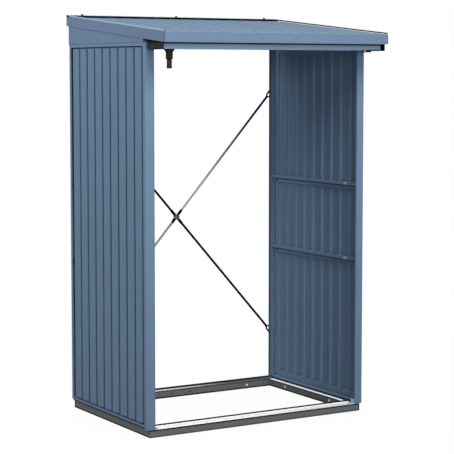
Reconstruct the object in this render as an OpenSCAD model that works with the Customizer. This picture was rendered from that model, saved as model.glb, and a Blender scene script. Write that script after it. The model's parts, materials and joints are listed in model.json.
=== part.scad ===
// Sheet-steel log store: two ribbed side walls on a base frame, a lean-to roof
// that falls to the front, a gutter with a hose spigot, and a rod brace at the back.
// Millimetres, +Z up, the open front faces -Y, origin on the ground below the
// middle of the roof.

/* [Base frame] */
// Width of the base frame
base_w = 1200; // [900:10:1800]
// Depth of the base frame, front to back
base_d = 813; // [600:1:1200]
// Width of the front rail
rail_w = 55; // [40:1:80]
// Width of the side rails
side_rail_w = 45; // [40:1:80]
// Width of the back rail
back_rail_w = 41; // [40:1:80]
// Height of a base rail up to its ledge
rail_h = 37; // [25:1:60]
// Height of the upstand above the ledge
upstand_h = 12; // [8:1:20]
// Wall thickness of a base rail
rail_t = 2; // [1.5:0.1:3]
// Width of the foot that each rail turns in at the ground
foot_w = 14; // [8:1:18]
// Thickness of the bright strip on the ledge
strip_t = 1; // [0.6:0.1:2]
// Ledge left bare along the free edge of a strip
strip_margin = 2; // [1:0.5:4]
// Width of the bright strip on a side rail and on the back rail
side_strip_w = 18; // [12:1:24]
// Bare height left at the top of the front upstand
strip_bare = 7; // [3:0.5:9]

/* [Walls] */
// How far the walls stand out past the base frame on each side
wall_out = 17; // [12:1:30]
// Thickness of the folded posts, rails and gables
frame_t = 1.2; // [0.8:0.1:2]
// Width of a post across the front
post_w = 46; // [38:1:70]
// Depth of the hem that a front post turns in at its inner edge
post_hem = 10; // [6:1:20]
// Width of a front post on the side of the wall
post_side = 25; // [18:1:40]
// Width of a rear post on the side of the wall
rear_side = 25; // [18:1:40]
// Radius of the outer bend of a post
post_bend = 9; // [4:0.5:15]
// Height of the bottom rail's outer lip
bottom_lip = 9; // [6:1:16]
// Height of the top rail's outer lip
top_lip = 14; // [8:1:20]
// Height of the inner flange of the top and bottom rails
rail_flange = 58; // [45:1:80]
// Depth of the rounded notch in that flange behind each rib
notch_depth = 20; // [18:1:28]
// Radius of the notch's corners
notch_r = 14; // [8:1:16]
// Dark slot between a panel's end and the rail lips
panel_slot = 8; // [4:0.5:14]
// Width of the bottom rail's seat inside the base's outer face
seat_w = 15; // [12:0.5:18]
// Height of the lip that hangs from the seat's inner edge
seat_lip = 4; // [2:0.5:8]

/* [Ribbed sheet] */
// Thickness of the ribbed sheet
sheet_t = 1; // [0.6:0.1:1.5]
// Depth of the grooves between the ribs
groove_depth = 9; // [5:0.5:10]
// Width of a groove at its mouth
groove_w = 20; // [11:0.5:24]
// Width of the sloping flank of a groove
flank_w = 3.5; // [2.5:0.1:4.5]
// Number of flat ribs on a side wall
wall_ribs = 9; // [6:1:14]
// Number of flat ribs on the roof
roof_ribs = 14; // [8:1:20]
// Ribs sit this far behind the face of the wall frame
rib_recess = 2; // [1:0.5:4]
// Length of panel tucked behind the side of a post
panel_tuck = 10; // [0:1:14]

/* [Wall stiffeners] */
// Height of the lower stiffener's underside
lower_stiffener_z = 734; // [400:2:900]
// Height of the upper stiffener's underside
upper_stiffener_z = 1114; // [950:2:1500]
// Height of a stiffener
stiffener_h = 38; // [25:1:60]
// Depth of a stiffener
stiffener_d = 14; // [8:1:18]
// Height of a stiffener's front leg, down from its top
stiffener_leg = 15; // [8:1:20]

/* [Roof] */
// Height of the store at the back
total_h = 1990; // [1900:5:2300]
// Fall of the roof from back to front
roof_fall = 94; // [60:1:140]
// Height of the roof's front edge above the wall frames
wall_drop = 47; // [40:1:70]
// Roof overhang past the base at the front
front_overhang = 188; // [140:2:300]
// Roof overhang past the base at the back
rear_overhang = 14; // [12:1:40]
// Roof overhang past the base on each side
side_overhang = 21; // [20:0.5:60]
// Height of the fascias
fascia_h = 47; // [35:1:70]
// Thickness of the fascias
fascia_t = 1.2; // [0.8:0.1:2]
// Width of the lip that a fascia turns over the roof
fascia_lip = 25; // [15:1:40]
// Height of the seal under the rear lip
seal_h = 9; // [3:0.5:12]
// Gap left between the roof sheet and the fascias
sheet_gap = 0.3; // [0.1:0.1:1]
// Set-back of the roof sheet's front end from the roof's front edge
sheet_setback = 8; // [3:0.5:15]
// Depth of the front and rear headers
header_d = 35; // [25:1:50]
// Height of the rear header
rear_header_h = 50; // [35:1:70]
// Width of the flange at the top of a gable
gable_flange = 15; // [8:1:20]
// Set-back of a gable's front edge from the front posts
gable_setback = 20; // [10:1:30]

/* [Gutter] */
// Width of the gutter, front to back
gutter_w = 93; // [60:1:110]
// How far the gutter hangs below the front fascia
gutter_drop = 30; // [20:1:45]
// How far the gutter reaches up behind the front fascia
gutter_cover = 12; // [8:1:18]
// Sheet thickness of the gutter
gutter_t = 1; // [0.6:0.1:1.5]
// Gap between the front fascia and the gutter's front wall
gutter_setback = 50; // [20:1:60]
// Distance of the end caps from the ends of the roof
gutter_inset = 7; // [4:1:12]
// Gap between the front fascia and the end caps
cap_setback = 16; // [5:1:19]
// Length of an end cap along the gutter
cap_len = 18; // [10:1:30]
// Wall thickness of the end caps
cap_t = 2; // [1:0.1:3]
// Width of a gutter bracket
bracket_w = 12; // [10:1:20]
// Thickness of a gutter bracket
bracket_t = 6; // [3:0.5:8]
// Length of a bracket's foot under the gutter
bracket_foot = 20; // [8:1:30]
// Distance of a bracket's outer edge from the wall's outer face
bracket_inset = 7; // [0:1:20]
// Height of the left bracket's top above the gutter's floor
bracket_rise = 12; // [9:1:20]

/* [Hose spigot] */
// Distance of the spigot's axis from the roof's left edge
outlet_inset = 80; // [60:1:300]
// Diameter of the flange under the gutter
outlet_flange_d = 49; // [42:1:60]
// Thickness of that flange
outlet_flange_t = 3; // [2:0.5:6]
// Length of the funnel below the flange
outlet_cone_len = 11; // [6:0.5:20]
// Diameter of the funnel's upper tube
outlet_upper_d = 33; // [30:0.5:40]
// Length of the upper tube
outlet_upper_len = 31; // [20:1:60]
// Outside diameter of the spigot
spigot_d = 24; // [20:0.5:28]
// Length of the spigot
spigot_len = 43; // [25:1:70]
// Bore through the outlet
spigot_bore_d = 19; // [14:0.5:19]
// Clearance around the outlet's neck in the gutter
outlet_gap = 0.3; // [0.1:0.1:0.6]
// Wall of the neck that goes up into the gutter
outlet_neck_t = 4; // [2:0.5:5]

/* [Brace] */
// Height of the lower brace anchors
brace_low = 296; // [200:2:500]
// Height of the upper brace anchors
brace_high = 1600; // [1300:5:1700]
// Distance of the anchors inside the base's outer face
anchor_inset = 15; // [12:0.5:20]
// Diameter of the brace rods
rod_d = 12; // [8:0.5:12.5]
// Outside width of the long eye at the end of a rod
eye_d = 28; // [22:1:34]
// Width of the slot in an eye
eye_bore_d = 14; // [12:0.5:18]
// Length of the slot between the centres of its ends
eye_slot = 24; // [12:1:40]
// Thickness of an eye
eye_t = 6; // [4:0.5:8]
// Outside diameter of the ring at the crossing
ring_d = 28; // [27:1:50]
// Hole in the ring
ring_bore_d = 20; // [19.5:0.5:21]
// Thickness of the ring
ring_t = 16; // [15:0.5:20]
// Diameter of the sleeve nuts next to the ring
sleeve_d = 15; // [14:0.5:18]
// Length of the sleeve nuts
sleeve_len = 30; // [15:1:60]
// Running clearance around the rods in the ring
rod_gap = 0.2; // [0.1:0.1:0.5]
// How far a rod shows inside the ring
rod_tip = 0.5; // [0.1:0.1:1]
// Diameter of an anchor bolt
bolt_d = 10; // [6:0.5:11]
// Diameter of an anchor's washer
washer_d = 28; // [20:1:34]
// Thickness of an anchor's washer
washer_t = 2; // [1:0.5:3]
// Width across the corners of an anchor's head
head_d = 18; // [12:0.5:20]
// Height of an anchor's head
head_h = 5; // [3:0.5:6]

/* [Hidden] */
$fn = 48;

STEEL_BLUE = [0.36, 0.45, 0.55];
DARK_GREY = [0.33, 0.34, 0.34];
BRIGHT = [0.86, 0.87, 0.87];
BLACK = [0.08, 0.08, 0.09];
ZINC = [0.55, 0.56, 0.57];
HEX = 6;

// plan
half_w = base_w / 2;
roof_w = base_w + 2 * side_overhang;
roof_d = front_overhang + base_d + rear_overhang;
roof_front_y = -roof_d / 2;
roof_back_y = roof_d / 2;
front_y = roof_front_y + front_overhang;
back_y = front_y + base_d;
rear_face_y = back_y - rail_t;
wall_x = half_w + wall_out;

// heights
roof_back_h = total_h - seal_h;
roof_front_h = roof_back_h - roof_fall;
wall_top = roof_front_h - wall_drop;
upstand_z = rail_h + upstand_h;
wall_z = upstand_z;
panel_z0 = wall_z + bottom_lip + panel_slot;
panel_z1 = wall_top - top_lip - panel_slot;

// wall panel, between the side strips of the posts
panel_y0 = front_y + post_side;
panel_y1 = rear_face_y - rear_side;
rib_x = wall_x - rib_recess;
panel_back_x = rib_x - groove_depth - sheet_t;
wall_pitch = (panel_y1 - panel_y0 - groove_w) / wall_ribs;

// roof plane: the top of the fascias
roof_slope = roof_fall / roof_d;
roof_angle = atan(roof_slope);
roof_len = roof_d / cos(roof_angle);
lip_drop = fascia_t / cos(roof_angle);
sheet_depth = fascia_t + groove_depth + sheet_t;
sheet_drop = sheet_depth / cos(roof_angle);
sheet_lean = sheet_depth * tan(roof_angle);
sheet_half_w = roof_w / 2 - fascia_t - sheet_gap;
function roof_z(y) = roof_front_h + (y - roof_front_y) * roof_slope;
function under_roof_z(y) = roof_z(y) - sheet_drop;
rear_header_z = under_roof_z(rear_face_y) - rear_header_h;
header_half_w = wall_x - gable_flange - frame_t;

// gutter
gutter_y0 = roof_front_y + fascia_t + gutter_setback;
gutter_y1 = gutter_y0 + gutter_w;
gutter_half_w = roof_w / 2 - gutter_inset - cap_t;
fascia_low_z = roof_front_h - fascia_h;
gutter_z = fascia_low_z - gutter_drop;
gutter_top = fascia_low_z + gutter_cover;
outlet_x = -roof_w / 2 + outlet_inset;
outlet_y = (gutter_y0 + gutter_y1) / 2;
neck_d = spigot_bore_d + 2 * outlet_neck_t;

// brace
brace_y = rear_face_y + rod_d / 2;
anchor_x = half_w - anchor_inset;
brace_mid_z = (brace_low + brace_high) / 2;
brace_rise = (brace_high - brace_low) / 2;
brace_angle = atan2(brace_rise, anchor_x);
brace_reach = sqrt(anchor_x * anchor_x + brace_rise * brace_rise);

// Placement helpers

// Mirrors a right-hand piece to the left.
module to_left() {
    mirror([1, 0, 0]) children();
}

// Runs a profile drawn in (x, z) along y from y0 to y1.
module along_y(y0, y1) {
    translate([0, y1, 0]) rotate([90, 0, 0]) linear_extrude(y1 - y0) children();
}

// Runs a profile drawn in (y, z) along x from x0 to x1.
module along_x(x0, x1) {
    translate([x0, 0, 0]) rotate([90, 0, 90]) linear_extrude(x1 - x0) children();
}

// Stands a profile drawn in plan up from z0 to z1.
module upright(z0, z1) {
    translate([0, 0, z0]) linear_extrude(z1 - z0) children();
}

// Frame of the roof: y up the slope from the front edge, z square to the roof plane.
module on_slope() {
    translate([0, roof_front_y, roof_front_h]) rotate([roof_angle, 0, 0]) children();
}

// A rectangle from corner a to corner b.
module rect(a, b) {
    translate(a) square(b - a);
}

// Base frame

// Section of a rail lying in x from 0 (free edge) to w (edge with the upstand).
module rail_section(w) {
    rect([0, 0], [rail_t, rail_h]);
    rect([0, rail_h - rail_t], [w, rail_h]);
    rect([w - rail_t, 0], [w, upstand_z]);
    rect([0, 0], [foot_w, rail_t]);
    rect([w - foot_w, 0], [w, rail_t]);
}

// Closes both ends of a rail that runs the full width, from y0 to y1 and up to z1.
module rail_end_plates(y0, y1, z1) {
    for (x = [-half_w, half_w - rail_t])
        along_x(x, x + rail_t) rect([y0, 0], [y1, z1]);
}

module base_front_rail() {
    color(DARK_GREY) {
        along_x(-half_w, half_w) translate([front_y, 0]) rail_section(rail_w);
        rail_end_plates(front_y, front_y + rail_w, rail_h);
    }
}

// Its end plates rise to the walls, up to the back faces of the rear posts.
module base_back_rail() {
    y0 = back_y - back_rail_w;
    color(DARK_GREY) {
        along_x(-half_w, half_w) translate([y0, 0]) rail_section(back_rail_w);
        rail_end_plates(y0, back_y, rail_h);
        rail_end_plates(y0, rear_face_y - frame_t, upstand_z);
    }
}

module base_right_rail() {
    color(DARK_GREY)
        along_y(front_y + rail_w, back_y - back_rail_w)
            translate([half_w - side_rail_w, 0]) rail_section(side_rail_w);
}

module base_left_rail() {
    to_left() base_right_rail();
}

// Bright strips on the ledges, between the posts and between the end rails

// The front strip turns up against the upstand.
module front_ledge_strip() {
    x = wall_x - post_w;
    y1 = front_y + rail_w - rail_t;
    color(BRIGHT)
        along_x(-x, x) {
            rect([front_y + strip_margin, rail_h], [y1, rail_h + strip_t]);
            rect([y1 - strip_t, rail_h], [y1, upstand_z - strip_bare]);
        }
}

module back_ledge_strip() {
    x = wall_x - post_w;
    color(BRIGHT)
        along_x(-x, x)
            rect([rear_face_y - side_strip_w, rail_h],
                 [rear_face_y, rail_h + strip_t]);
}

module right_ledge_strip() {
    x0 = half_w - side_rail_w + strip_margin;
    color(BRIGHT)
        along_y(front_y + rail_w, back_y - back_rail_w)
            rect([x0, rail_h], [x0 + side_strip_w, rail_h + strip_t]);
}

module left_ledge_strip() {
    to_left() right_ledge_strip();
}

// Posts

// Quarter ring of sheet in the quadrant towards +x and -y of its centre.
module bend_section(r, t) {
    intersection() {
        difference() {
            circle(r);
            circle(r - t);
        }
        rect([0, -r], [r, 0]);
    }
}

// Plan of a front post: side strip, bent corner, front face and inner hem.
module front_post_plan() {
    inner_x = wall_x - post_w;
    rect([wall_x - frame_t, front_y + post_bend], [wall_x, front_y + post_side]);
    translate([wall_x - post_bend, front_y + post_bend]) bend_section(post_bend, frame_t);
    rect([inner_x, front_y], [wall_x - post_bend, front_y + frame_t]);
    rect([inner_x, front_y], [inner_x + frame_t, front_y + post_hem]);
}

module front_right_post() {
    color(STEEL_BLUE) upright(rail_h, wall_top) front_post_plan();
}

module front_left_post() {
    to_left() front_right_post();
}

// Plan of a rear post: side strip, bent corner and back face.
module rear_post_plan() {
    translate([wall_x - post_bend, rear_face_y - post_bend])
        mirror([0, 1]) bend_section(post_bend, frame_t);
    rect([wall_x - frame_t, rear_face_y - rear_side], [wall_x, rear_face_y - post_bend]);
    rear_post_back();
}

module rear_post_back() {
    rect([wall_x - post_w, rear_face_y - frame_t], [wall_x - post_bend, rear_face_y]);
}

// The back face runs up to the rear header, the side strip stops under the gable.
module rear_right_post() {
    color(STEEL_BLUE) {
        upright(rail_h, rear_header_z) rear_post_back();
        upright(wall_z, wall_top) rear_post_plan();
    }
}

module rear_left_post() {
    to_left() rear_right_post();
}

// Wall rails

// U-shaped notch behind one rib, open upwards, with its lower left corner at the origin.
module notch_plan() {
    w = wall_pitch - groove_w + 2 * flank_w;
    rect([0, notch_r], [w, 2 * notch_depth]);
    rect([notch_r, 0], [w - notch_r, 2 * notch_depth]);
    for (y = [notch_r, w - notch_r])
        translate([y, notch_r]) circle(notch_r);
}

// Inner flange of a wall rail in (y, z), from its fold at 0 up to its notched edge.
module flange_plan() {
    first = panel_y0 + groove_w - flank_w;
    difference() {
        rect([panel_y0, 0], [panel_y1, rail_flange]);
        for (i = [0 : wall_ribs - 1])
            translate([first + i * wall_pitch, rail_flange - notch_depth]) notch_plan();
    }
}

module right_flange() {
    along_x(panel_back_x - frame_t, panel_back_x) children();
}

// Seat on the base's upstand, lips at its outer and inner edge and inner flange.
module right_bottom_rail() {
    seat_x = half_w - seat_w;
    color(STEEL_BLUE) {
        along_y(panel_y0, panel_y1) {
            rect([seat_x, wall_z], [wall_x, wall_z + frame_t]);
            rect([seat_x, wall_z - seat_lip], [seat_x + frame_t, wall_z + frame_t]);
            rect([wall_x - frame_t, wall_z], [wall_x, wall_z + bottom_lip]);
        }
        right_flange() translate([0, wall_z]) flange_plan();
    }
}

module left_bottom_rail() {
    to_left() right_bottom_rail();
}

module right_top_rail() {
    color(STEEL_BLUE) {
        along_y(panel_y0, panel_y1) {
            rect([panel_back_x - frame_t, wall_top - frame_t], [wall_x, wall_top]);
            rect([wall_x - frame_t, wall_top - top_lip], [wall_x, wall_top]);
        }
        right_flange() translate([0, wall_top]) mirror([0, 1]) flange_plan();
    }
}

module left_top_rail() {
    to_left() right_top_rail();
}

// Ribbed sheet

// Section of a ribbed sheet: flat ribs on top at height 0, grooves below, from s0 to s1.
// The sheet starts and ends on the floor of a groove, which runs on by `tuck`.
module ribbed_section(s0, s1, ribs, tuck) {
    pitch = (s1 - s0 - groove_w) / ribs;
    rib_w = pitch - groove_w;
    bend = sheet_t * tan(atan2(groove_depth, flank_w) / 2);
    floor_s = (groove_w - flank_w * 2) / 2;
    start = s0 + groove_w / 2 + floor_s;
    // the four corners of rib i on the upper face, moved by `in` and `drop` for the lower
    function rib(i, in, drop) = let (a = start + i * pitch) [
        [a + in, -groove_depth - drop],
        [a + flank_w + in, -drop],
        [a + flank_w + rib_w - in, -drop],
        [a + 2 * flank_w + rib_w - in, -groove_depth - drop]
    ];
    upper = [for (i = [0 : ribs - 1]) each rib(i, 0, 0)];
    lower = [for (i = [0 : ribs - 1]) each rib(i, bend, sheet_t)];
    function backwards(p) = [for (i = [len(p) - 1 : -1 : 0]) p[i]];
    polygon(concat(
        [[s0 - tuck, -groove_depth]], upper,
        [[s1 + tuck, -groove_depth], [s1 + tuck, -groove_depth - sheet_t]],
        backwards(lower), [[s0 - tuck, -groove_depth - sheet_t]]
    ));
}

module right_wall_panel() {
    color(STEEL_BLUE)
        upright(panel_z0, panel_z1)
            translate([rib_x, 0]) rotate(90) mirror([0, 1])
                ribbed_section(panel_y0, panel_y1, wall_ribs, panel_tuck);
}

module left_wall_panel() {
    to_left() right_wall_panel();
}

module roof_sheet() {
    color(STEEL_BLUE)
        on_slope()
            translate([0, 0, -fascia_t])
                along_y(sheet_setback, roof_len - fascia_t - sheet_gap - sheet_lean)
                    ribbed_section(-sheet_half_w, sheet_half_w, roof_ribs, 0);
}

// Folded rails across the inside of the walls: back on the ribs, top and short front leg
module right_stiffener(z0) {
    x1 = panel_back_x;
    x0 = x1 - stiffener_d;
    z1 = z0 + stiffener_h;
    color(STEEL_BLUE)
        along_y(panel_y0, rear_face_y - frame_t) {
            rect([x1 - frame_t, z0], [x1, z1]);
            rect([x0, z1 - frame_t], [x1, z1]);
            rect([x0, z1 - stiffener_leg], [x0 + frame_t, z1]);
        }
}

module right_lower_stiffener() {
    right_stiffener(lower_stiffener_z);
}

module right_upper_stiffener() {
    right_stiffener(upper_stiffener_z);
}

module left_lower_stiffener() {
    to_left() right_stiffener(lower_stiffener_z);
}

module left_upper_stiffener() {
    to_left() right_stiffener(upper_stiffener_z);
}

// Gables and headers under the roof

// Plate that follows the roof, with a flange turned in under the roof sheet.
module right_gable() {
    y0 = front_y + gable_setback;
    y1 = rear_face_y;
    color(STEEL_BLUE) {
        along_x(wall_x - frame_t, wall_x)
            polygon([[y0, wall_top], [y1, wall_top], [y1, under_roof_z(y1)], [y0, under_roof_z(y0)]]);
        along_x(wall_x - gable_flange, wall_x)
            polygon([
                [y0, under_roof_z(y0) - frame_t], [y1, under_roof_z(y1) - frame_t],
                [y1, under_roof_z(y1)], [y0, under_roof_z(y0)]
            ]);
    }
}

module left_gable() {
    to_left() right_gable();
}

// Channel section from y0 to y1 with its web at web_y and its top under the roof.
module header_section(y0, y1, z0, web_y) {
    polygon([
        [web_y, z0], [web_y + frame_t, z0],
        [web_y + frame_t, under_roof_z(web_y + frame_t)], [web_y, under_roof_z(web_y)]
    ]);
    rect([y0, z0], [y1, z0 + frame_t]);
    polygon([
        [y0, under_roof_z(y0) - frame_t], [y1, under_roof_z(y1) - frame_t],
        [y1, under_roof_z(y1)], [y0, under_roof_z(y0)]
    ]);
}

// The front header's web stands at its back and runs on under the gables' flanges.
module front_header() {
    web_y = front_y + header_d - frame_t;
    web_x = wall_x - frame_t;
    color(STEEL_BLUE) {
        along_x(-header_half_w, header_half_w)
            header_section(front_y, front_y + header_d, wall_top, web_y);
        along_x(-web_x, web_x)
            rect([web_y, wall_top], [web_y + frame_t, under_roof_z(web_y) - lip_drop]);
    }
}

module rear_header() {
    color(STEEL_BLUE)
        along_x(-header_half_w, header_half_w)
            header_section(rear_face_y - header_d, rear_face_y, rear_header_z,
                           rear_face_y - frame_t);
}

// Fascias

// Upright plate whose lip leans back with the roof.
module front_fascia() {
    plate_y = roof_front_y + fascia_t;
    lip_y = roof_front_y + fascia_lip;
    color(STEEL_BLUE)
        along_x(-roof_w / 2, roof_w / 2)
            polygon([
                [roof_front_y, fascia_low_z], [plate_y, fascia_low_z],
                [plate_y, roof_z(plate_y) - lip_drop], [lip_y, roof_z(lip_y) - lip_drop],
                [lip_y, roof_z(lip_y)], [roof_front_y, roof_front_h]
            ]);
}

// Upright plate with a lip that lies on the seal, in line with the roof.
module rear_fascia() {
    plate_y = roof_back_y - fascia_t;
    lip_y = roof_back_y - fascia_lip;
    low_z = roof_back_h - fascia_h;
    color(STEEL_BLUE)
        along_x(-roof_w / 2, roof_w / 2)
            polygon([
                [roof_back_y, low_z], [roof_back_y, total_h],
                [lip_y, roof_z(lip_y) + seal_h], [lip_y, roof_z(lip_y) + seal_h - lip_drop],
                [plate_y, roof_z(plate_y) + seal_h - lip_drop], [plate_y, low_z]
            ]);
}

// The plate runs under the lips of the front and rear fascias and has its own lip between them.
module right_fascia() {
    y0 = roof_front_y + fascia_t;
    y1 = roof_back_y - fascia_t;
    lip_y0 = roof_front_y + fascia_lip;
    lip_y1 = roof_back_y - fascia_lip;
    x1 = roof_w / 2;
    color(STEEL_BLUE) {
        along_x(x1 - fascia_t, x1)
            polygon([
                [y0, roof_z(y0) - fascia_h], [y1, roof_z(y1) - fascia_h],
                [y1, roof_z(y1) - lip_drop], [lip_y1, roof_z(lip_y1) - lip_drop],
                [lip_y1, roof_z(lip_y1)], [lip_y0, roof_z(lip_y0)],
                [lip_y0, roof_z(lip_y0) - lip_drop], [y0, roof_z(y0) - lip_drop]
            ]);
        along_x(x1 - fascia_lip, x1)
            polygon([
                [lip_y0, roof_z(lip_y0) - lip_drop], [lip_y1, roof_z(lip_y1) - lip_drop],
                [lip_y1, roof_z(lip_y1)], [lip_y0, roof_z(lip_y0)]
            ]);
    }
}

module left_fascia() {
    to_left() right_fascia();
}

// Fills the space between the roof sheet and the rear lip.
module rear_seal() {
    y0 = roof_back_y - fascia_lip;
    y1 = roof_back_y - fascia_t - sheet_gap;
    color(BLACK)
        along_x(-sheet_half_w, sheet_half_w)
            polygon([
                [y0, roof_z(y0) - lip_drop], [y1, roof_z(y1) - lip_drop],
                [y1, roof_z(y1) + seal_h - lip_drop], [y0, roof_z(y0) + seal_h - lip_drop]
            ]);
}

// Gutter

// Trough with a front flange that meets the back of the fascia.
module gutter_section() {
    rect([gutter_y0, gutter_z], [gutter_y0 + gutter_t, gutter_top]);
    rect([gutter_y0, gutter_z], [gutter_y1, gutter_z + gutter_t]);
    rect([gutter_y1 - gutter_t, gutter_z], [gutter_y1, gutter_top]);
    rect([roof_front_y + fascia_t, gutter_top - gutter_t], [gutter_y0 + gutter_t, gutter_top]);
}

module gutter() {
    color(STEEL_BLUE)
        difference() {
            along_x(-gutter_half_w, gutter_half_w) gutter_section();
            translate([outlet_x, outlet_y, gutter_z - gutter_t])
                cylinder(d = neck_d + 2 * outlet_gap, h = 3 * gutter_t);
        }
}

// Plate over the end of the gutter, folded in under its floor and behind its back.
module gutter_right_cap() {
    x0 = gutter_half_w - cap_len;
    x1 = gutter_half_w + cap_t;
    y0 = roof_front_y + fascia_t + cap_setback;
    y1 = gutter_y1 + cap_t;
    z0 = gutter_z - cap_t;
    color(BLACK) {
        along_x(gutter_half_w, x1) rect([y0, z0], [y1, gutter_top]);
        along_x(x0, x1) rect([gutter_y0, z0], [y1, gutter_z]);
        along_x(x0, x1) rect([gutter_y1, z0], [y1, gutter_top]);
    }
}

module gutter_left_cap() {
    to_left() gutter_right_cap();
}

// Flat bar from y0 back to the front of the right post, with its top at z1.
module bracket_bar(y0, z1) {
    x1 = wall_x - bracket_inset;
    color(BLACK)
        along_x(x1 - bracket_w, x1) rect([y0, z1 - bracket_t], [front_y, z1]);
}

// The right bar reaches under the gutter.
module gutter_right_bracket() {
    bracket_bar(gutter_y1 - bracket_foot, gutter_z - cap_t);
}

// The left bar starts higher, at the back of the cap.
module gutter_left_bracket() {
    to_left() bracket_bar(gutter_y1 + cap_t, gutter_z + bracket_rise);
}

// Funnel and hose spigot under the gutter's left end.
module gutter_outlet() {
    neck_h = outlet_flange_t + gutter_t;
    flange_z = gutter_z - outlet_flange_t;
    cone_z = flange_z - outlet_cone_len;
    upper_z = cone_z - outlet_upper_len;
    spigot_z = upper_z - spigot_len;
    bore_h = gutter_z - spigot_z + 2 * gutter_t;
    color(BLACK)
        translate([outlet_x, outlet_y, 0])
            difference() {
                union() {
                    translate([0, 0, flange_z]) {
                        cylinder(d = outlet_flange_d, h = outlet_flange_t);
                        cylinder(d = neck_d, h = neck_h);
                    }
                    translate([0, 0, cone_z])
                        cylinder(d1 = outlet_upper_d, d2 = outlet_flange_d, h = outlet_cone_len);
                    translate([0, 0, upper_z])
                        cylinder(d = outlet_upper_d, h = outlet_upper_len + outlet_cone_len);
                    translate([0, 0, spigot_z])
                        cylinder(d = spigot_d, h = spigot_len + outlet_upper_len);
                }
                translate([0, 0, spigot_z - gutter_t])
                    cylinder(d = spigot_bore_d, h = bore_h + 2 * gutter_t);
            }
}

// Brace at the back

// Frame of the brace: x along the rod from the crossing to an anchor at `angle`.
module along_brace(angle) {
    translate([0, brace_y, brace_mid_z]) rotate([0, -angle, 0]) children();
}

// A cylinder that lies along x from x0 to x1.
module bar(d, x0, x1) {
    translate([x0, 0, 0]) rotate([0, 90, 0]) cylinder(d = d, h = x1 - x0);
}

// A cylinder that lies along y from y0 to y1 at the point x.
module pin_y(d, x, y0, y1) {
    translate([x, y1, 0]) rotate([90, 0, 0]) cylinder(d = d, h = y1 - y0);
}

// A flat block with round ends that lies across y, from x0 to x1 and y0 to y1.
module link_y(d, x0, x1, y0, y1) {
    pin_y(d, x0, y0, y1);
    pin_y(d, x1, y0, y1);
    translate([x0, y0, -d / 2]) cube([x1 - x0, y1 - y0, d]);
}

// Rod with a sleeve nut at the ring and a long eye that lies on the rear post.
module brace_rod(angle) {
    ring_edge = ring_d / 2 + rod_gap;
    eye_y = rear_face_y - brace_y;
    slot_x = brace_reach - eye_slot;
    color(ZINC)
        along_brace(angle)
            difference() {
                union() {
                    bar(rod_d, ring_bore_d / 2 - rod_tip, slot_x - eye_bore_d / 2);
                    bar(sleeve_d, ring_edge, ring_edge + sleeve_len);
                    link_y(eye_d, slot_x, brace_reach, eye_y, eye_y + eye_t);
                }
                link_y(eye_bore_d, slot_x, brace_reach, eye_y - rod_d, eye_y + 2 * rod_d);
            }
}

module brace_upper_right_rod() {
    brace_rod(brace_angle);
}

module brace_upper_left_rod() {
    brace_rod(180 - brace_angle);
}

module brace_lower_right_rod() {
    brace_rod(-brace_angle);
}

module brace_lower_left_rod() {
    brace_rod(180 + brace_angle);
}

// Ring with a clear hole for each rod.
module brace_ring() {
    color(ZINC)
        difference() {
            along_brace(0) pin_y(ring_d, 0, -ring_t / 2, ring_t / 2);
            along_brace(0) pin_y(ring_bore_d, 0, -ring_t, ring_t);
            for (side = [0, 180])
                for (tilt = [-brace_angle, brace_angle])
                    along_brace(side + tilt) bar(rod_d + 2 * rod_gap, 0, ring_d);
        }
}

// Bolt, washer and head through one eye, set on the rear post.
module brace_anchor(angle) {
    post_y = rear_face_y - brace_y;
    washer_y = post_y + eye_t;
    head_y = washer_y + washer_t;
    color(ZINC)
        along_brace(angle) {
            pin_y(bolt_d, brace_reach, post_y, head_y);
            pin_y(washer_d, brace_reach, washer_y, head_y);
            translate([brace_reach, head_y + head_h, 0]) rotate([90, 0, 0])
                cylinder(d = head_d, h = head_h, $fn = HEX);
        }
}

module right_brace_anchors() {
    brace_anchor(brace_angle);
    brace_anchor(-brace_angle);
}

module left_brace_anchors() {
    brace_anchor(180 - brace_angle);
    brace_anchor(180 + brace_angle);
}

base_front_rail();
base_back_rail();
base_left_rail();
base_right_rail();
front_ledge_strip();
back_ledge_strip();
left_ledge_strip();
right_ledge_strip();
front_left_post();
front_right_post();
rear_left_post();
rear_right_post();
left_bottom_rail();
right_bottom_rail();
left_top_rail();
right_top_rail();
left_wall_panel();
right_wall_panel();
left_lower_stiffener();
left_upper_stiffener();
right_lower_stiffener();
right_upper_stiffener();
left_gable();
right_gable();
front_header();
rear_header();
roof_sheet();
front_fascia();
rear_fascia();
left_fascia();
right_fascia();
rear_seal();
gutter();
gutter_left_cap();
gutter_right_cap();
gutter_left_bracket();
gutter_right_bracket();
gutter_outlet();
brace_upper_left_rod();
brace_upper_right_rod();
brace_lower_left_rod();
brace_lower_right_rod();
brace_ring();
left_brace_anchors();
right_brace_anchors();
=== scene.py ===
"""Looks of the sheet-steel log store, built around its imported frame."""

import json
import logging
import math
from dataclasses import dataclass
from enum import Enum
from typing import Callable, ClassVar, Sequence, Union

import bmesh
import bpy
from mathutils import Matrix, Vector


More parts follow.
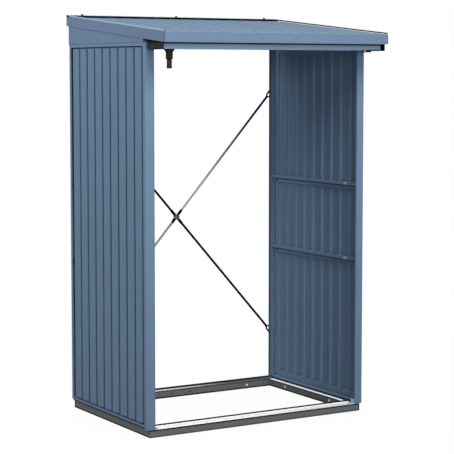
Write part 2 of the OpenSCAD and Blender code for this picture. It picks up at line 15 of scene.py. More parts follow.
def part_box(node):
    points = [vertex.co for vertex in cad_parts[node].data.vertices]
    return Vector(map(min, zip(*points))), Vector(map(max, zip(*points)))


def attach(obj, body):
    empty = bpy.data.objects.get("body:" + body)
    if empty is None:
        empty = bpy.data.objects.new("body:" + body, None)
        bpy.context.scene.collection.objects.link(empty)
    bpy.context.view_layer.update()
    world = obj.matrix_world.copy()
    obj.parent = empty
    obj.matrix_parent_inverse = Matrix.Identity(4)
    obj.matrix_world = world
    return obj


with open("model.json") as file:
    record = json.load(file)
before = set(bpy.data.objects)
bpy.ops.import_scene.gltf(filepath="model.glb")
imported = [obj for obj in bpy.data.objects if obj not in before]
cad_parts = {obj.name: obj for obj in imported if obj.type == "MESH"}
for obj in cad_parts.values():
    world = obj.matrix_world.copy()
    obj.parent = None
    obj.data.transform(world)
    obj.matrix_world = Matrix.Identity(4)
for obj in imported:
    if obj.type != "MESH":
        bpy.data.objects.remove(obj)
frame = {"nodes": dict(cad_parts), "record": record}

LOG = logging.getLogger("log_store")
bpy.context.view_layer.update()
BODY = "root"
HALF = 0.5

Colour = tuple[float, float, float]
Point = tuple[float, float, float]
Pair = tuple[float, float]
Node = bpy.types.Node
Socket = bpy.types.NodeSocket


class Slot(Enum):
    """The record's material slots."""

    WALL_SHEET = "wall_sheet"
    FRAME_COAT = "frame_coat"
    GABLE_COAT = "gable_coat"
    ROOF_COAT = "roof_coat"
    FASCIA_COAT = "fascia_coat"
    GUTTER_COAT = "gutter_coat"
    BASE_COAT = "base_coat"
    LEDGE_METAL = "ledge_metal"
    BLACK_PLASTIC = "black_plastic"
    SEAL_RUBBER = "seal_rubber"
    ROD_DARK = "rod_dark"
    ROD_ZINC = "rod_zinc"
    ZINC_FITTING = "zinc_fitting"


# ---- shader graphs ----


class Value:
    """A number socket whose arithmetic adds Math nodes to its graph."""

    def __init__(self, graph: "Graph", socket: Socket) -> None:
        """Keeps the graph and the socket."""
        self.graph = graph
        self.socket = socket

    def _math(self, operation: str, first: object, second: object) -> "Value":
        """The result of a new Math node with two inputs."""
        node = self.graph.node(
            "ShaderNodeMath", {"operation": operation}, {0: first, 1: second})
        return Value(self.graph, node.outputs[0])

    def __add__(self, other: object) -> "Value":
        """Sum."""
        return self._math("ADD", self, other)

    __radd__ = __add__

    def __sub__(self, other: object) -> "Value":
        """Difference."""
        return self._math("SUBTRACT", self, other)

    def __rsub__(self, other: object) -> "Value":
        """Reflected difference."""
        return self._math("SUBTRACT", other, self)

    def __mul__(self, other: object) -> "Value":
        """Product."""
        return self._math("MULTIPLY", self, other)

    def __truediv__(self, other: object) -> "Value":
        """Quotient."""
        return self._math("DIVIDE", self, other)

    def __abs__(self) -> "Value":
        """Absolute value."""
        return self._math("ABSOLUTE", self, 0.0)

    def to_and_fro(self, reach: float) -> "Value":
        """Runs up to a reach and back again, over and over."""
        return self._math("PINGPONG", self, reach)

    def at_least(self, other: object) -> "Value":
        """The larger of two values."""
        return self._math("MAXIMUM", self, other)

    def swing(self, width: float) -> "Value":
        """A noise turned into a swing about 0 with a given width."""
        return (self - HALF) * width

    def step(self, low: float, high: float) -> "Value":
        """A smooth step that leaves 0 at the low end and reaches 1 at the high end.

        Args:
            low: The low end.
            high: The high end.

        Returns:
            The stepped value.
        """
        node = self.graph.node(
            "ShaderNodeMapRange",
            {"interpolation_type": "SMOOTHSTEP"},
            {"Value": self, "From Min": low, "From Max": high},
        )
        return Value(self.graph, node.outputs[0])


Input = Union[Value, Socket, float, Sequence[float]]


class Graph:
    """A node tree that is filled by code."""

    def __init__(self, tree: bpy.types.NodeTree) -> None:
        """Empties the tree."""
        self.tree = tree
        tree.nodes.clear()

    def node(self, kind: str, settings: dict | None = None, inputs: dict | None = None) -> Node:
        """Adds one node.

        Args:
            kind: The node's type.
            settings: Its properties, set first.
            inputs: The values or links of its sockets, by name or index.

        Returns:
            The node.
        """
        node = self.tree.nodes.new(kind)
        for name, value in (settings or {}).items():
            setattr(node, name, value)
        for name, value in (inputs or {}).items():
            socket = node.inputs[name]
            if isinstance(value, Value):
                value = value.socket
            if isinstance(value, Socket):
                self.tree.links.new(value, socket)
            else:
                socket.default_value = value
        return node

    def place(self) -> Socket:
        """The point on the object, in metres."""
        return self.node("ShaderNodeTexCoord").outputs["Object"]

    def noise(self, scale: float, detail: float = 2.0,
              stretch: Point = (1.0, 1.0, 1.0)) -> Value:
        """Noise from 0 to 1.

        Args:
            scale: Blobs per metre.
            detail: Octaves.
            stretch: Scale of the three axes.

        Returns:
            The noise.
        """
        point = self.node("ShaderNodeMapping", {}, {"Vector": self.place(), "Scale": stretch})
        node = self.node("ShaderNodeTexNoise", {}, {
            "Vector": point.outputs[0], "Scale": scale, "Detail": detail})
        return Value(self, node.outputs["Fac"])

    def along(self, axis: Point) -> Value:
        """The point's distance along an axis, in metres."""
        node = self.node(
            "ShaderNodeVectorMath", {"operation": "DOT_PRODUCT"}, {0: self.place(), 1: axis})
        return Value(self, node.outputs["Value"])

    def mix(self, share: Input, first: Input, second: Input) -> Socket:
        """Mixes two colours by the share of the second."""
        node = self.node(
            "ShaderNodeMix", {"data_type": "RGBA"}, {0: share, 6: first, 7: second})
        return node.outputs[2]

    def tones(self, share: Input, colour: Colour, ends: Pair) -> Socket:
        """Mixes a darker and a lighter share of one colour."""
        return self.mix(share, *(rgba(colour, end) for end in ends))

    def blend(self, share: Value, first: Node, second: Node) -> Node:
        """Mixes two shaders by the share of the second."""
        return self.node("ShaderNodeMixShader", {}, {
            0: share, 1: first.outputs[0], 2: second.outputs[0]})

    def bump(self, height: Value, strength: float, distance: float) -> Socket:
        """The normal of a relief with some strength and a depth in metres."""
        node = self.node("ShaderNodeBump", {}, {
            "Height": height, "Strength": strength, "Distance": distance})
        return node.outputs[0]

    def surface(self, inputs: dict) -> None:
        """Ends the graph in a Principled shader."""
        shader = self.node("ShaderNodeBsdfPrincipled", {}, inputs)
        self.node("ShaderNodeOutputMaterial", {}, {"Surface": shader.outputs[0]})


def rgba(colour: Colour, share: float = 1.0) -> tuple[float, float, float, float]:
    """A colour times a share, with full alpha."""
    return (colour[0] * share, colour[1] * share, colour[2] * share, 1.0)


X: Point = (1.0, 0.0, 0.0)
Y: Point = (0.0, 1.0, 0.0)
Z: Point = (0.0, 0.0, 1.0)
FAR = 9.0  # beyond the store in any direction
HAIRLINE = 0.0004  # fade of a sharp line

# Blobs per metre of the noises, and depths of the reliefs.
CLOUDS, COAT_GRAIN, ORANGE_PEEL, PEEL_DEPTH = 3.5, 420.0, 700.0, 0.0006
BRUSHING, SPANGLE, PLATING_FLECKS, METAL_DEPTH = 260.0, 55.0, 140.0, 0.0004
MOULD_CLOUDS, MOULD_GRAIN, MOULD_DEPTH = 18.0, 900.0, 0.0003


@dataclass(frozen=True)
class Zone:
    """A zone of a finish: painted shade, a dark joint line, or a strip with a painted glow.

    Attributes:
        dark: Share by which it is darker, or brighter.
        bounds: Axis, low end and high end of each bound; the zone is where all hold.
        soft: Width over which it fades out.
    """

    dark: float
    bounds: tuple[tuple[Point, float, float], ...]
    soft: float = HAIRLINE

    def shade(self, g: Graph) -> Value:
        """The zone's share at a point.

        Args:
            g: The material's graph.

        Returns:
            The share, 0 outside the zone.
        """
        share: Input = self.dark
        for axis, low, high in self.bounds:
            at = g.along(axis)
            inside = at.step(low - self.soft, low) * (1.0 - at.step(high, high + self.soft))
            share = inside * share
        return share


@dataclass(frozen=True)
class Finish:
    """A finish that makes its material once.

    Attributes:
        made: The materials made so far, by name.
        name: Name of the material.
        colour: Its colour.
        roughness: Mean roughness.
        gloss: Specular level.
        shade_and_seams: Zones of painted shade and dark joint lines.
        tones: Shares of the colour at its darkest and its lightest.
        shaded: Share of the colour that is left in full shade.
    """

    made: ClassVar[dict[str, bpy.types.Material]] = {}
    name: str
    colour: Colour
    roughness: float = 0.6
    gloss: float = 0.0
    shade_and_seams: tuple[Zone, ...] = ()
    tones: Pair = (0.5, 1.5)
    shaded: float = 0.1

    def material(self) -> bpy.types.Material:
        """The finish's material, made at the first call.

        Returns:
            The material.
        """
        if self.name not in Finish.made:
            material = bpy.data.materials.new(self.name)
            material.use_nodes = True
            self.paint(Graph(material.node_tree))
            Finish.made[self.name] = material
        return Finish.made[self.name]

    def paint(self, g: Graph) -> None:
        """Fills the material's graph."""
        raise NotImplementedError

    @staticmethod
    def darkest(g: Graph, shade_and_seams: Sequence[Zone]) -> Input:
        """The largest share of some zones at a point.

        Args:
            g: The material's graph.
            shade_and_seams: The zones.

        Returns:
            The share.
        """
        shade: Input = 0.0
        for mark in shade_and_seams:
            shade = mark.shade(g).at_least(shade)
        return shade


@dataclass(frozen=True)
class SatinCoat(Finish):
    """Satin powder coat on sheet steel.

    Attributes:
        cloud: Share by which the colour wanders over the sheet.
        peel: Strength of the fine orange peel.
        speckle: Swing of the fine grain in the colour.
        swings: Swings of the clouds and of the grain in the roughness.
    """

    gloss: float = 0.03
    cloud: float = 0.05
    peel: float = 0.06
    speckle: float = 0.05
    swings: Pair = (0.12, 0.06)

    def shade(self, g: Graph) -> Input:
        """Share by which the colour is darkened at a point."""
        return self.darkest(g, self.shade_and_seams)

    def paint(self, g: Graph) -> None:
        """Paints the coat.

        Args:
            g: The material's graph.
        """
        clouds = g.noise(CLOUDS, detail=3.0)
        grain = g.noise(COAT_GRAIN)
        tone = clouds.swing(2.0 * self.cloud) + grain.swing(self.speckle) + HALF
        rough = clouds.swing(self.swings[0]) + grain.swing(self.swings[1])
        coat = g.tones(tone, self.colour, self.tones)
        g.surface({
            "Base Color": g.mix(self.shade(g), coat, rgba(self.colour, self.shaded)),
            "Roughness": self.roughness + rough,
            "Normal": g.bump(g.noise(ORANGE_PEEL, detail=1.0), self.peel, PEEL_DEPTH),
            "Specular IOR Level": self.gloss,
        })


@dataclass(frozen=True)
class RibbedCoat(SatinCoat):
    """Coat on a ribbed sheet, with painted shade on the floors of its grooves.

    Attributes:
        normal: Direction out of the sheet.
        face: Distance of the ribs' faces along it.
        mirrored: The same on both sides of the store.
        floor_shade: Share by which painted shade darkens a groove's floor.
        depth: Depth of a groove.
        start: Share of the depth at which the painted shade begins.
        rise: Share of the depth over which the painted shade reaches its full strength.
        core: Where the painted shade ends inside the sheet, below a groove's floor.
        pitch: Distance in x between the middles of the grooves, one of which is at 0.
        lip: Share by which painted shade darkens the ribs' faces next to the grooves.
        lip_reach: Where that shade is full and where it ends, in pitches from the middle.
    """

    normal: Point = X
    face: float = 0.615
    mirrored: bool = True
    floor_shade: float = 0.45
    depth: float = 0.009
    start: float = 0.4
    rise: float = 0.35
    core: Pair = (0.00025, 0.00075)
    pitch: float = 1.0
    lip: float = 0.0
    lip_reach: Pair = (0.10, 0.42)

    def shade(self, g: Graph) -> Input:
        """Painted shade near the floor on the outer side, and none on the inside.

        Args:
            g: The material's graph.

        Returns:
            The share by which the colour is darkened.
        """
        out = g.along(self.normal)
        below = self.face - (abs(out) if self.mirrored else out)
        outer_side = 1.0 - below.step(*(self.depth + inner for inner in self.core))
        low, high = self.depth * self.start, self.depth * (self.start + self.rise)
        groove_shade = below.step(low, high) * outer_side * self.floor_shade
        # Painted shade on the ribs' faces next to the grooves.
        if self.lip:
            across = (abs(g.along(X)) / self.pitch).to_and_fro(HALF)
            groove_shade = groove_shade.at_least((1.0 - across.step(*self.lip_reach)) * self.lip)
        return groove_shade.at_least(self.darkest(g, self.shade_and_seams))


@dataclass(frozen=True)
class BrightZinc(Finish):
    """Galvanised or zinc-plated metal with a brushed grain and, where set, a painted glow; its
    gloss is the shader's own.

    Attributes:
        metallic: Share of bare metal.
        grain: Noise scale along the three axes, long in the brushed direction.
        painted_glow: Strength of its own light, a painted glow that stands in for reflected
            light.
        glow_zones: Zones where that painted glow is full.
        rest: Share of the painted glow outside the glow zones.
        swings: Swings of the noises in the colour and in the roughness.
        brush: Strength of the brushed relief.
    """

    tones: Pair = (0.7, 1.15)
    shaded: float = 0.05
    metallic: float = 1.0
    grain: Point = (1.0, 1.0, 1.0)
    painted_glow: float = 0.0
    glow_zones: tuple[Zone, ...] = ()
    rest: float = 0.2
    swings: Pair = (0.1, 0.2)
    brush: float = 0.02

    def paint(self, g: Graph) -> None:
        """Paints the metal.

        Args:
            g: The material's graph.
        """
        brushed = g.noise(BRUSHING, detail=3.0, stretch=self.grain)
        flecks = g.noise(SPANGLE, detail=4.0)
        in_colour, in_roughness = self.swings
        tone = brushed.swing(in_colour) + flecks.swing(in_colour) + HALF
        colour = g.tones(tone, self.colour, self.tones)
        painted_shade = self.darkest(g, self.shade_and_seams)
        glow = g.tones(self.darkest(g, self.glow_zones), self.colour, (self.rest, 1.0))
        g.surface({
            "Base Color": g.mix(painted_shade, colour, rgba(self.colour, self.shaded)),
            "Metallic": self.metallic,
            "Roughness": self.roughness + flecks.swing(in_roughness),
            "Normal": g.bump(brushed, self.brush, METAL_DEPTH),
            # Painted glow: emission in the finish's colour, full in the glow zones, weaker
            # elsewhere, and dimmed by the painted shade.
            "Emission Color": g.mix(painted_shade, glow, rgba(self.colour, 0.0)),
            "Emission Strength": self.painted_glow,
        })


@dataclass(frozen=True)
class PlatedRod(Finish):
    """Zinc-plated rod with blackened sleeves and ends; painted shade darkens its left half, and
    a painted reflection darkens it towards the right end.

    Attributes:
        black: Colour of the blackened steel.
        sleeve: Distance in x from the crossing to the end of the sleeves.
        fade: Where a painted reflection starts to darken the plating towards the right end.
        right: Where the right end is black.
        left: Where the left end turns black.
        painted_shade: Share by which painted shade darkens the left half.
        changes: Widths of the changes of tone at the crossing and at the left end.
        swing: Swing of the flecks in the roughness.
        relief: Strength of the flecks' relief.
    """

    roughness: float = 0.5
    tones: Pair = (0.8, 1.2)
    black: Colour = (0.002, 0.002, 0.002)
    sleeve: float = 0.0295
    fade: float = 0.10
    right: float = 0.50
    left: float = -0.553
    painted_shade: float = 0.35
    changes: Pair = (0.001, 0.002)
    swing: float = 0.2
    relief: float = 0.05

    def paint(self, g: Graph) -> None:
        """Paints the rod's finish.

        Args:
            g: The material's graph.
        """
        x = g.along(X)
        sleeves = 1.0 - abs(x).step(self.sleeve - HAIRLINE, self.sleeve)
        middle, end = self.changes
        # Painted shade on the left half and a blackened left end; a painted reflection darkens
        # the plating towards the right end.
        left_half = (1.0 - x.step(-middle, 0.0)) * self.painted_shade
        left_end = 1.0 - x.step(self.left, self.left + end)
        right_end = x.step(self.fade, self.right)
        black = sleeves.at_least(right_end).at_least(left_end).at_least(left_half)
        flecks = g.noise(PLATING_FLECKS, detail=3.0)
        plating = g.tones(flecks, self.colour, self.tones)
        g.surface({
            "Base Color": g.mix(black, plating, rgba(self.black)),
            "Roughness": self.roughness + flecks.swing(self.swing),
            "Normal": g.bump(flecks, self.relief, METAL_DEPTH),
            "Specular IOR Level": self.gloss,
        })


@dataclass(frozen=True)
class Moulding(Finish):
    """Matt moulded plastic or rubber.

    Attributes:
        grain: Strength of the fine grain.
        swing: Swing of the clouds in the roughness.
    """

    gloss: float = 0.02
    tones: Pair = (0.85, 1.2)
    shaded: float = 0.02
    grain: float = 0.2
    swing: float = 0.15

    def paint(self, g: Graph) -> None:
        """Paints the moulding.

        Args:
            g: The material's graph.
        """
        cloud = g.noise(MOULD_CLOUDS)
        colour = g.tones(cloud, self.colour, self.tones)
        dark = self.darkest(g, self.shade_and_seams)
        g.surface({
            "Base Color": g.mix(dark, colour, rgba(self.colour, self.shaded)),
            "Roughness": self.roughness + cloud.swing(self.swing),
            "Normal": g.bump(g.noise(MOULD_GRAIN), self.grain, MOULD_DEPTH),
            "Specular IOR Level": self.gloss,
        })


# ---- painted shade, joint lines and finishes of this store ----

ROOF_RISE, ROOF_RUN = 0.094, 1.015
ROOF_FRONT, ROOF_FRONT_TOP = -0.5075, 1.887
FASCIA_SHEET = 0.0012
ROOF_LEAN = math.atan(ROOF_RISE / ROOF_RUN)
ROOF_UP: Point = (0.0, -math.sin(ROOF_LEAN), math.cos(ROOF_LEAN))
ROOF_FACE = ROOF_UP[1] * ROOF_FRONT + ROOF_UP[2] * ROOF_FRONT_TOP - FASCIA_SHEET
ROOF_RIBS, ROOF_HALF_WIDTH, GROOVE_WIDTH = 14, 0.6194, 0.020
ROOF_PITCH = (2.0 * ROOF_HALF_WIDTH - GROOVE_WIDTH) / ROOF_RIBS


def twins(low: float, high: float) -> tuple[Pair, ...]:
    """A span in x on the right of the store, and its mirror image on the left."""
    return (low, high), (-high, -low)


# Painted shade on the inner edges of the front posts, and painted shade that deepens towards the
# ground.
POST_FRONT = -0.3165
POST_SHADE = (
    *(Zone(0.3, ((X, *hem), (Y, -FAR, POST_FRONT))) for hem in twins(0.57, 0.5748)),
    Zone(0.12, ((Y, -FAR, -0.29), (Z, -FAR, 0.05)), 1.2),
)

# Shade on the inner edges of the rear posts, and a weaker one beside it.
REAR_POST_SHADE = tuple(
    Zone(dark, ((X, *band), (Y, 0.485, 0.4907)))
    for dark, span in ((0.75, (0.565, 0.582)), (0.3, (0.57, 0.607)))
    for band in twins(*span)
)

# A painted shadow under the leg of each stiffener, and painted shade at its rear end.
STIFFENER_FEET = (0.734, 1.114)
LINE_LOW, LINE_HIGH = 0.0155, 0.0225
STIFFENER_SHADE = tuple(
    Zone(dark, ((X, -0.606, 0.606), (Y, *span),
                (Z, foot + low, foot + LINE_HIGH)))
    for foot in STIFFENER_FEET
    for dark, span, low in ((0.6, (-0.29, 0.466), LINE_LOW), (0.7, (0.452, 0.4665), 0.0))
)

# A faint level line on the gables.
GABLE_SEAMS = (Zone(0.4, ((Z, 1.839, 1.8435),)),)

# Joints at the ends of the front fascia.
FASCIA_CORNER = -0.5035
FASCIA_SEAMS = (
    Zone(0.6, ((X, -FAR, -0.6182), (Y, -FAR, FASCIA_CORNER))),
    Zone(0.5, ((X, 0.6175, FAR), (Y, -FAR, FASCIA_CORNER))),
)

# Shade under the fascia, and on the lower part of the gutter's right end.
GUTTER_TOP = 1.86
GUTTER_SHADE = (
    Zone(0.93, ((Z, 1.8335, GUTTER_TOP),), 0.0012),
    Zone(0.97, ((Z, 1.79, 1.8138), (X, 0.505, FAR))),
    Zone(0.3, ((Z, 1.832, GUTTER_TOP),), 0.02),
)

# Painted shade on the lower edges, the right front corner, the crests next to the ledges, and
# the upstands.
BASE_FOOT, BASE_FRONT, FRONT_RAIL = 0.0075, -0.3185, -0.30
LEDGE_TOP, SIDE_LEDGE, SIDE_STRIP, BACK_LEDGE = 0.0372, 0.5562, 0.5563, 0.4525
RAIL_SHADE = (
    Zone(0.97, ((Z, -FAR, BASE_FOOT), (Y, FRONT_RAIL, FAR))),
    Zone(0.4, ((Z, -FAR, BASE_FOOT), (Y, -FAR, FRONT_RAIL))),
    Zone(0.85, ((X, 0.5935, FAR), (Y, -FAR, BASE_FRONT))),
    Zone(0.97, ((Z, 0.0305, 0.0364), (Y, -FAR, BASE_FRONT))),
    Zone(0.9, ((Z, 0.0345, LEDGE_TOP), (Y, 0.45, 0.4733), (X, -0.556, 0.556))),
    *(Zone(0.9, ((Z, 0.0325, LEDGE_TOP), (X, *crest), (Y, -0.26, BACK_LEDGE)))
      for crest in twins(0.55, SIDE_LEDGE)),
    Zone(0.92, ((Z, 0.0385, FAR), (X, -0.5985, 0.5985), (Y, BASE_FRONT, 0.4925))),
)

# Painted shade that darkens the back strip towards the right; the steep axis keeps that wide
# fade sharp in y.
STEEP = 100.0
LEDGE_SHADE = (
    Zone(0.92, ((X, 0.34, FAR), ((0.0, STEEP, 0.0), STEEP * 0.465, STEEP * FAR)), 0.42),
)

# A painted glow, full on the strips of the side ledges; it stands in for their reflection of the
# light surroundings.
SIDE_STRIP_GLOW = tuple(
    Zone(1.0, ((X, *strip), (Y, -0.2645, BACK_LEDGE)))
    for strip in twins(SIDE_STRIP, FAR)
)

# Painted shade at the step and end of the outlet, on the lower and upper edges of the caps, and
# over all the pieces on the right.
PLASTIC_SHADE = (
    Zone(0.9, ((Z, 1.762, 1.768),)),
    Zone(0.9, ((Z, -FAR, 1.7265),)),
    Zone(0.85, ((Z, 1.804, 1.8125),)),
    Zone(0.9, ((Z, 1.838, FAR),)),
    Zone(0.85, ((X, 0.0, FAR),)),
)

# Painted light: the blue coats are copies of one paint, each made lighter or darker to match how
# much light its parts seem to get.
FINISHES: dict[Slot, Finish] = {
    Slot.WALL_SHEET: RibbedCoat("wall_paint", (0.147, 0.230, 0.342)),
    Slot.FRAME_COAT: SatinCoat(
        "frame_paint", (0.161, 0.242, 0.360),
        shade_and_seams=POST_SHADE + REAR_POST_SHADE + STIFFENER_SHADE),
    Slot.GABLE_COAT: SatinCoat("gable_paint", (0.156, 0.230, 0.345), shade_and_seams=GABLE_SEAMS),
    Slot.ROOF_COAT: RibbedCoat(
        "roof_paint", (0.187, 0.270, 0.371), gloss=0.0, normal=ROOF_UP, face=ROOF_FACE,
        mirrored=False, floor_shade=0.6, start=0.05, pitch=ROOF_PITCH, lip=0.24),
    Slot.FASCIA_COAT: SatinCoat("fascia_paint", (0.151, 0.226, 0.335), shade_and_seams=FASCIA_SEAMS),
    # Painted light: a much lighter copy of the blue, also worn as a painted highlight by the
    # clips, the post feet and the roof edges.
    Slot.GUTTER_COAT: SatinCoat("lightened_blue_paint", (0.325, 0.478, 0.670), shade_and_seams=GUTTER_SHADE),
    Slot.BASE_COAT: SatinCoat(
        "base_paint", (0.148, 0.159, 0.158), roughness=0.5, shade_and_seams=RAIL_SHADE),
    # Painted reflection: the zinc of the ledge strips is painted near-white and not metallic,
    # with a painted glow; the base screws wear it as a painted highlight.
    Slot.LEDGE_METAL: BrightZinc(
        "ledge_zinc_white_glow", (0.98, 0.98, 0.98), metallic=0.0, roughness=0.45, grain=(0.1, 0.1, 1.0),
        painted_glow=0.3, glow_zones=SIDE_STRIP_GLOW, shade_and_seams=LEDGE_SHADE),
    Slot.BLACK_PLASTIC: Moulding("black_moulding", (0.032, 0.030, 0.028), shade_and_seams=PLASTIC_SHADE),
    # Near-black, for the roof screws and the seals; along the roof's rear and side edges the
    # seals are painted shade under those edges.
    Slot.SEAL_RUBBER: Moulding("seal_and_shade_black", (0.002, 0.004, 0.006), roughness=0.7),
    # Painted reflection: the two rods of the brace are one steel, in a black copy and a plated
    # copy, to match how each reflects its surroundings.
    Slot.ROD_DARK: Moulding("rod_black", (0.002, 0.002, 0.002), grain=0.1, gloss=0.0),
    Slot.ROD_ZINC: PlatedRod("rod_plating", (0.55, 0.55, 0.55)),
    Slot.ZINC_FITTING: BrightZinc(
        "fitting_zinc", (0.12, 0.13, 0.14), metallic=0.4, roughness=0.4),
}


# ---- studio ----

WHITE: Colour = (1.0, 1.0, 1.0)


@dataclass(frozen=True)
class Lamp:
    """A soft area lamp.

    Attributes:
        name: Name of the lamp.
        place: Where it hangs.
        aim: The point it faces.
        size: Width and height.
        power: Watts.
    """

    name: str
    place: Point
    aim: Point
    size: Pair
    power: float

    def build(self) -> None:
        """Hangs the lamp."""
        data = bpy.data.lights.new(self.name, "AREA")
        data.shape = "RECTANGLE"
        data.size, data.size_y = self.size
        data.energy = self.power
        lamp = bpy.data.objects.new(self.name, data)
        lamp.location = self.place
        line = Vector(self.aim) - Vector(self.place)
        lamp.rotation_euler = line.to_track_quat("-Z", "Y").to_euler()
        bpy.context.scene.collection.objects.link(lamp)


LAMPS = (
    Lamp("key", (-0.4, -3.6, 4.7), (0.0, 0.0, 1.2), (3.0, 2.0), 172.0),
    Lamp("front", (-1.4, -5.5, 2.1), (0.0, 0.0, 1.2), (3.5, 1.6), 126.0),
    Lamp("left", (-4.5, 0.9, 4.0), (-0.6, 0.0, 1.2), (3.0, 2.0), 156.0),
    Lamp("right", (4.6, 1.2, 4.0), (0.6, 0.0, 1.2), (3.0, 2.0), 100.0),
    Lamp("back", (1.0, 4.6, 6.0), (0.0, 0.0, 0.8), (3.0, 2.0), 160.0),
    Lamp("rear", (1.8, 5.0, 1.6), (0.0, 0.0, 1.0), (2.5, 1.6), 70.0),
)


@dataclass
class Studio:
    """White studio: world, floor, lamps and camera.

    Attributes:
        sky: Strength of the world's light on the object.
        floor_size: Side of the floor.
        floor_drop: Depth of the floor below the store's underside.
        floor_tone: Paleness of the floor as the object sees it.
        floor_white: Strength of the white that the camera sees on the floor.
        shadow: Share of the floor's own shading that the camera sees near the store.
        shadow_tone: Paleness of the floor in that shading.
        shadow_start: Distance at which that shading begins to fade.
        shadow_reach: Distance at which it has faded out.
        camera_place: Where the camera stands.
        camera_turn: Turn to the right of straight ahead, in radians.
        camera_dip: Dip below the horizon, in radians.
        lens: Focal length in millimetres.
        sensor: Width of the sensor in millimetres.
        shift: Vertical lens shift as a share of the frame.
    """

    sky: float = 0.15
    floor_size: float = 60.0
    floor_drop: float = 0.0005
    floor_tone: float = 0.20
    floor_white: float = 1.0
    shadow: float = 0.04
    shadow_tone: float = 0.85
    shadow_start: float = 1.6
    shadow_reach: float = 3.6
    camera_place: Point = (-4.0608, -6.7809, 1.7071)
    camera_turn: float = 0.5408
    camera_dip: float = 0.0859
    lens: float = 126.27
    sensor: float = 36.0
    shift: float = -0.04

    def seen_directly(self, g: Graph) -> Value:
        """1 for rays that show the background: camera, glossy and transmission rays.

        Args:
            g: The graph that it is added to.

        Returns:
            The value.
        """
        path = g.node("ShaderNodeLightPath")
        camera = Value(g, path.outputs["Is Camera Ray"])
        glossy = Value(g, path.outputs["Is Glossy Ray"])
        through = Value(g, path.outputs["Is Transmission Ray"])
        return camera.at_least(glossy).at_least(through)

    def build_world(self) -> None:
        """White for the eye, plain soft light for the object."""
        world = bpy.data.worlds.new("studio")
        bpy.context.scene.world = world
        world.use_nodes = True
        g = Graph(world.node_tree)
        light, white = (
            g.node("ShaderNodeBackground", {}, {"Color": rgba(WHITE), "Strength": strength})
            for strength in (self.sky, 1.0)
        )
        both = g.blend(self.seen_directly(g), light, white)
        g.node("ShaderNodeOutputWorld", {}, {"Surface": both.outputs[0]})

    def build_floor(self) -> None:
        """A pale floor that reads as white and keeps a faint shadow."""
        bpy.ops.mesh.primitive_plane_add(
            size=self.floor_size, location=(0.0, 0.0, -self.floor_drop))
        floor = bpy.context.object
        floor.name = "floor"
        material = bpy.data.materials.new("floor")
        material.use_nodes = True
        g = Graph(material.node_tree)
        bounce, shaded = (
            g.node("ShaderNodeBsdfDiffuse", {}, {"Color": rgba(WHITE, tone)})
            for tone in (self.floor_tone, self.shadow_tone)
        )
        white = g.node("ShaderNodeEmission", {}, {
            "Color": rgba(WHITE), "Strength": self.floor_white})
        away = abs(g.along(X)).at_least(abs(g.along(Y)))
        share = (1.0 - away.step(self.shadow_start, self.shadow_reach)) * self.shadow
        both = g.blend(self.seen_directly(g), bounce, g.blend(share, white, shaded))
        g.node("ShaderNodeOutputMaterial", {}, {"Surface": both.outputs[0]})
        floor.data.materials.append(material)

    def build_camera(self) -> None:
        """The camera at the photograph's viewing angle."""
        data = bpy.data.cameras.new("camera")
        data.lens = self.lens
        data.sensor_width = self.sensor
        data.shift_y = self.shift
        camera = bpy.data.objects.new("camera", data)
        camera.location = self.camera_place
        camera.rotation_euler = (math.pi / 2 - self.camera_dip, 0.0, -self.camera_turn)
        bpy.context.scene.collection.objects.link(camera)
        bpy.context.scene.camera = camera

    def build(self) -> None:
        """Builds the studio."""
        bpy.context.scene.view_settings.view_transform = "Standard"
        self.build_world()
        self.build_floor()
        for lamp in LAMPS:
            lamp.build()
        self.build_camera()


# ---- dressing ----


class CoatedNodes:
    """Gives every node of the frame the finish of its slot."""

    def dress(self) -> None:
        """Puts the finishes on."""
        for part in frame["record"]["subparts"]:
            piece = frame["nodes"][part["node"]]
            finish = FINISHES[Slot(part["material_slot"])]
            piece.data.materials.clear()
            piece.data.materials.append(finish.material())
            LOG.info("%s: %s", part["node"], finish.name)


# ---- small pieces ----

FaceTest = Callable[[Vector, Vector], bool]
Step = Callable[[], object]

TO_FRONT: Point = (0.0, -1.0, 0.0)
TO_MIDDLE: Point = (-1.0, 0.0, 0.0)  # from the right-hand side
HANDS = (1.0, -1.0)  # right and left
UPRIGHT = 0.9  # least height of the normal of a face that looks up
AXIS_REACH = 1e-5  # a face is in the middle when its centre is this near the axis
SLIGHT = 0.9  # a slight taper

# Widths of rounded edges, how they are cut, and the angle that is shaded smooth.
FINE_EDGE, SOFT_EDGE, ROUND_EDGE = 0.0002, 0.0003, 0.0005
EDGE_STEPS = 2
EDGE_ANGLE = math.radians(35.0)
SMOOTH_ANGLE = math.radians(40.0)


def pick(*pieces: bpy.types.Object) -> None:
    """Selects these pieces alone and makes the last one active.

    Args:
        pieces: The pieces.
    """
    bpy.ops.object.select_all(action="DESELECT")
    for piece in pieces:
        piece.select_set(True)
    bpy.context.view_layer.objects.active = pieces[-1]


def facing_up(centre: Vector, normal: Vector) -> bool:
    """Faces that look up."""
    return normal.z > UPRIGHT


def in_middle(centre: Vector, normal: Vector) -> bool:
    """The face in the middle of those that look up."""
    return normal.z > UPRIGHT and centre.xy.length < AXIS_REACH


def turned(place: Point, facing: Point) -> Matrix:
    """Puts the foot of a piece at a place and points its top another way than up."""
    turn = Vector(facing).to_track_quat("Z", "Y").to_matrix()
    return Matrix.Translation(place) @ turn.to_4x4()


def both_hands(places: Sequence[tuple[Point, Point]]) -> list[Matrix]:
    """Places on the right of the store and their mirror images on the left.

    Args:
        places: Points on the right and the directions that the pieces face.

    Returns:
        The matrices of all the places.
    """
    return [
        turned((hand * x, y, z), (hand * u, v, w))
        for (x, y, z), (u, v, w) in places for hand in HANDS
    ]


def both_sides(x: float, y: float, z: float, axis: str = "") -> list[Matrix]:
    """A place on the right and its twin on the left, turned half round if an axis is given."""
    right, left = (Matrix.Translation((hand * x, y, z)) for hand in HANDS)
    return [right, left @ Matrix.Rotation(math.pi, 4, axis) if axis else left]


